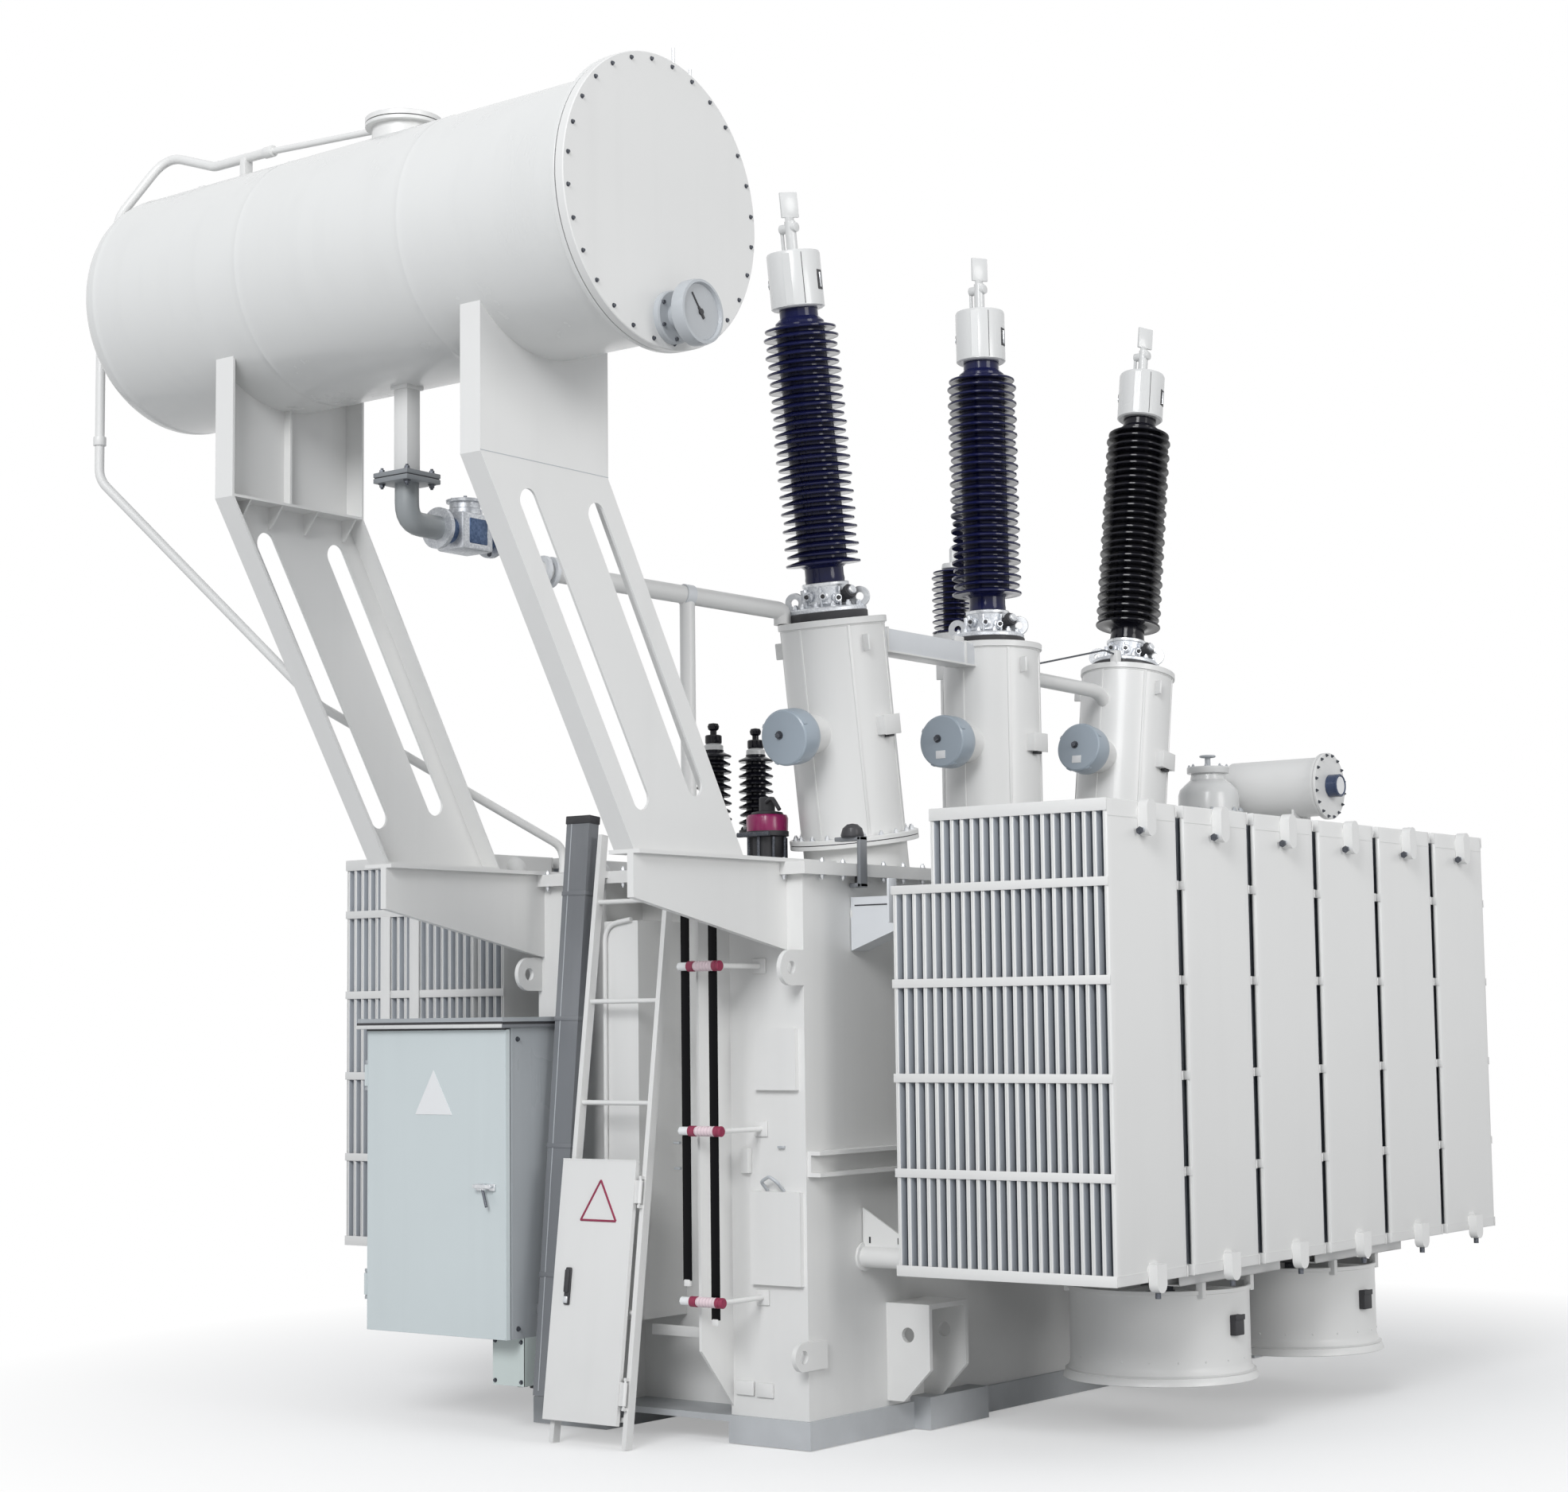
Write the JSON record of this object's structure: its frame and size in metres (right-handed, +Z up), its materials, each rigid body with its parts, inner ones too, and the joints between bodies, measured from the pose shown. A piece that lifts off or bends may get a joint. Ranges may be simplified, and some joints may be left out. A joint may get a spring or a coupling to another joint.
{
  "type": "power transformer",
  "caption": "Oil-filled power transformer with raised conservator, leaning bushings, radiator banks over fans, a control cabinet with a door and a ladder with a guard.",
  "frame": {"origin": "on the ground under the middle of the tank, on the base's bottom face", "axes": "+Z up, -Y towards the end with the conservator, ladder and cabinet, +X towards the bank whose fans show"},
  "size_m": [4.1162, 6.616, 5.2593],
  "materials": {
    "cast_grey": "cast, satin",
    "copper_black": "satin paint",
    "dark_grey_paint": "satin paint",
    "galvanised": "satin",
    "insulator_pink": "gloss",
    "magenta_red": "gloss paint",
    "pale_green_paint": "satin paint",
    "radiator_paint": "satin paint",
    "shed_black": "glossy",
    "shed_navy": "glossy",
    "white_paint": "satin paint"
  },
  "bodies": {
    "transformer": {"arm_bracket_left": "white_paint", "arm_bracket_right": "white_paint", "bar_support_1": "insulator_pink", "bar_support_2": "insulator_pink", "bar_support_3": "insulator_pink", "breather_downcomer": "white_paint", "breather_pipe": "white_paint", "bushing_1": "shed_navy", "bushing_2": "shed_navy", "bushing_3": "shed_navy", "cable_box": "pale_green_paint", "cable_duct": "dark_grey_paint", "conservator_arm_left": "white_paint", "conservator_arm_right": "white_paint", "conservator_cover": "white_paint", "conservator_hatch": "white_paint", "conservator_shell": "white_paint", "control_cabinet": "white_paint", "earthing_bar_left": "copper_black", "earthing_bar_right": "copper_black", "end_box": "white_paint", "fan_left_1": "white_paint", "fan_left_2": "white_paint", "fan_right_1": "white_paint", "fan_right_2": "white_paint", "gas_pipe": "white_paint", "gas_relay": "cast_grey", "jack_box_left": "white_paint", "jack_box_right": "white_paint", "ladder": "white_paint", "low_voltage_bushing_1": "shed_black", "low_voltage_bushing_2": "shed_black", "neutral_bushing": "shed_navy", "oil_downpipe": "white_paint", "oil_gauge": "cast_grey", "pressure_relief": "magenta_red", "radiator_left_1": "radiator_paint", "radiator_left_2": "radiator_paint", "radiator_left_3": "radiator_paint", "radiator_left_4": "radiator_paint", "radiator_left_5": "radiator_paint", "radiator_left_6": "radiator_paint", "radiator_right_1": "radiator_paint", "radiator_right_2": "radiator_paint", "radiator_right_3": "radiator_paint", "radiator_right_4": "radiator_paint", "radiator_right_5": "radiator_paint", "radiator_right_6": "radiator_paint", "small_conservator": "white_paint", "tank_base": "white_paint", "tank_lid": "white_paint", "tank_walls": "white_paint", "tap_changer_head": "galvanised", "turret_1": "white_paint", "turret_2": "white_paint", "turret_3": "white_paint", "turret_link_1": "white_paint", "turret_link_2": "white_paint"},
    "cabinet_door": {"cabinet_door": "white_paint"},
    "ladder_guard": {"ladder_guard": "white_paint"}
  },
  "joints": [
    {"name": "cabinet_door_hinge", "type": "hinge", "parent": "transformer", "child": "cabinet_door", "pos_m": [-1.311, -2.718, 1.015], "axis": [0, 0, -1], "range_deg": [0, 110]},
    {"name": "ladder_guard_hinge", "type": "hinge", "parent": "transformer", "child": "ladder_guard", "pos_m": [0.095, -2.64027, 0.60287], "axis": [0, 0.13, 0.9915], "range_deg": [0, 110]}
  ]
}
